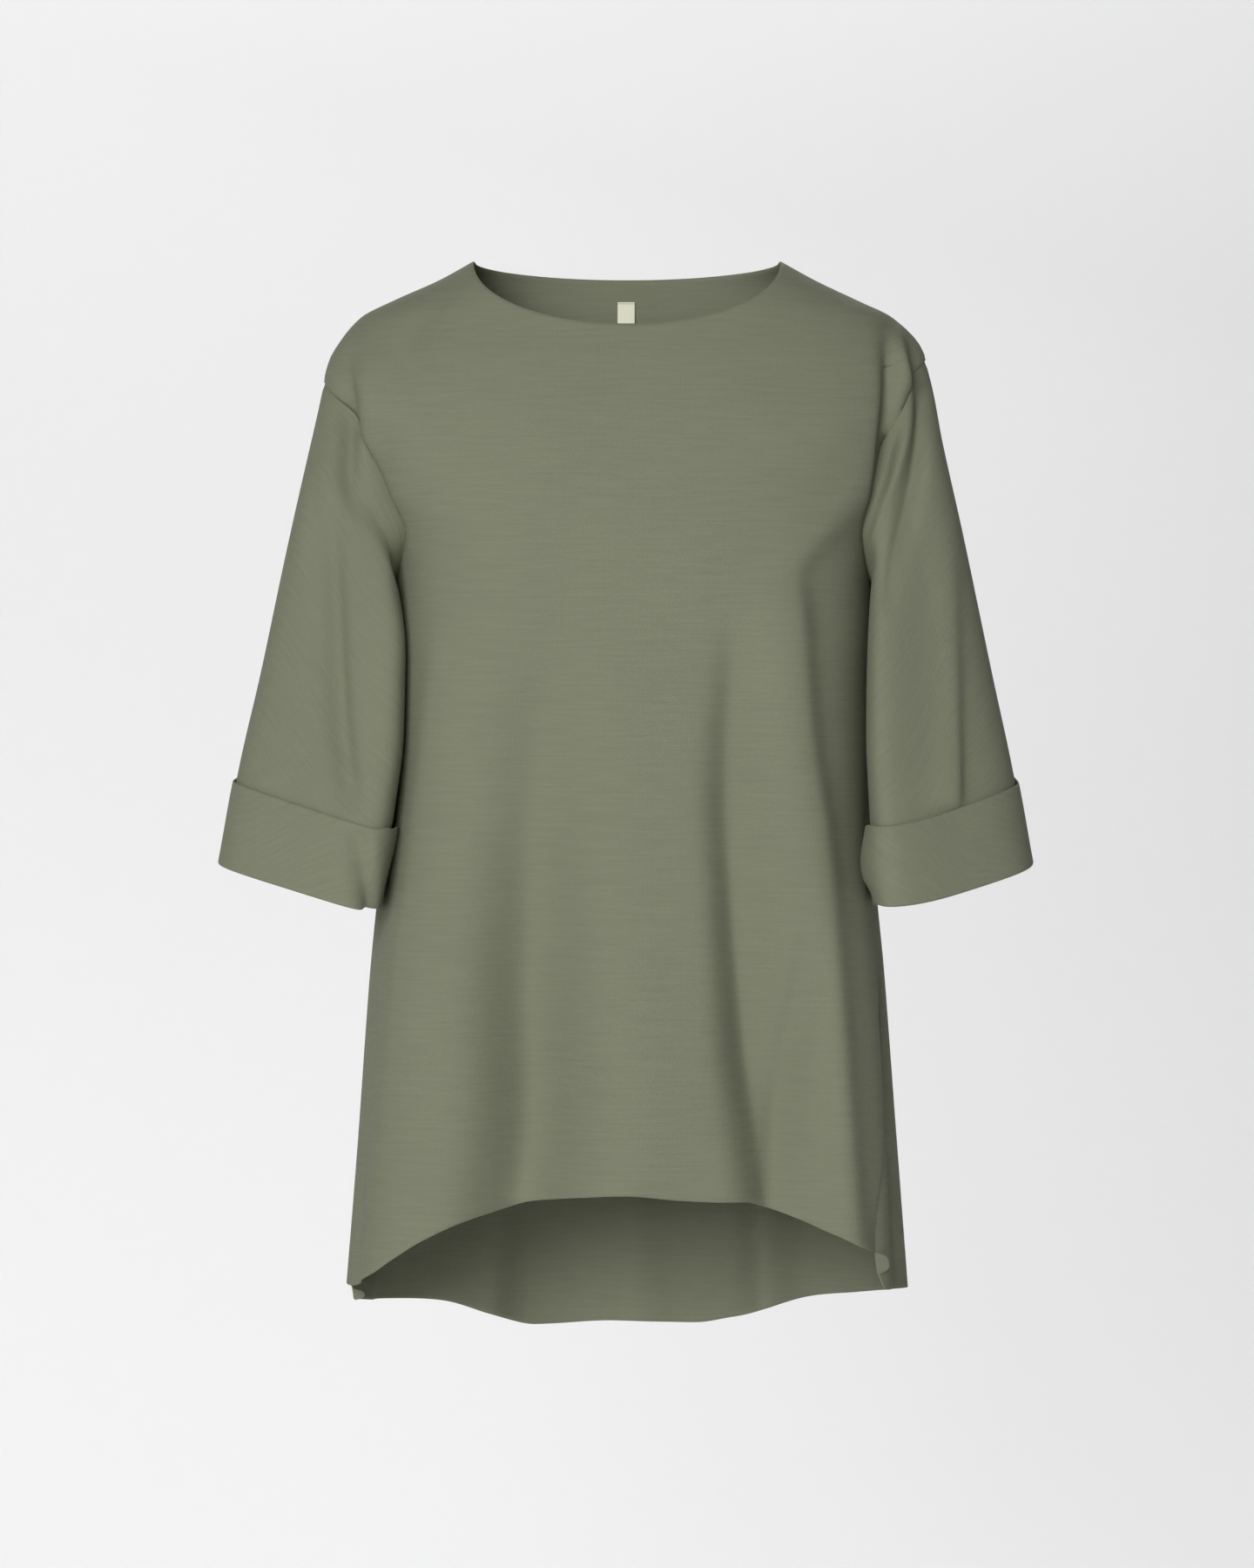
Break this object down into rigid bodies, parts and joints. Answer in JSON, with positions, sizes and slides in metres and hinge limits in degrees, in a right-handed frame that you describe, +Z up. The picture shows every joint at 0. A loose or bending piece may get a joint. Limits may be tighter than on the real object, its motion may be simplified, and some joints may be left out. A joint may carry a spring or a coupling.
{
  "type": "t-shirt",
  "caption": "Loose knit T-shirt filled out as if worn: wide round neck, elbow sleeves with turned-up cuffs, curved hem longer at the back.",
  "frame": {"origin": "midway between the two ends of the neckline on the shoulder seams, where the wearer's shoulders hold the garment up", "axes": "+Z up, the front faces -Y, +X towards the wearer's left sleeve"},
  "size_m": [0.5724, 0.2687, 0.7649],
  "materials": {
    "jersey": "matte",
    "label": "satin"
  },
  "bodies": {
    "root": {"front_panel": "jersey", "back_panel": "jersey", "sleeve_left": "jersey", "sleeve_right": "jersey", "neck_label": "label"}
  },
  "joints": []
}
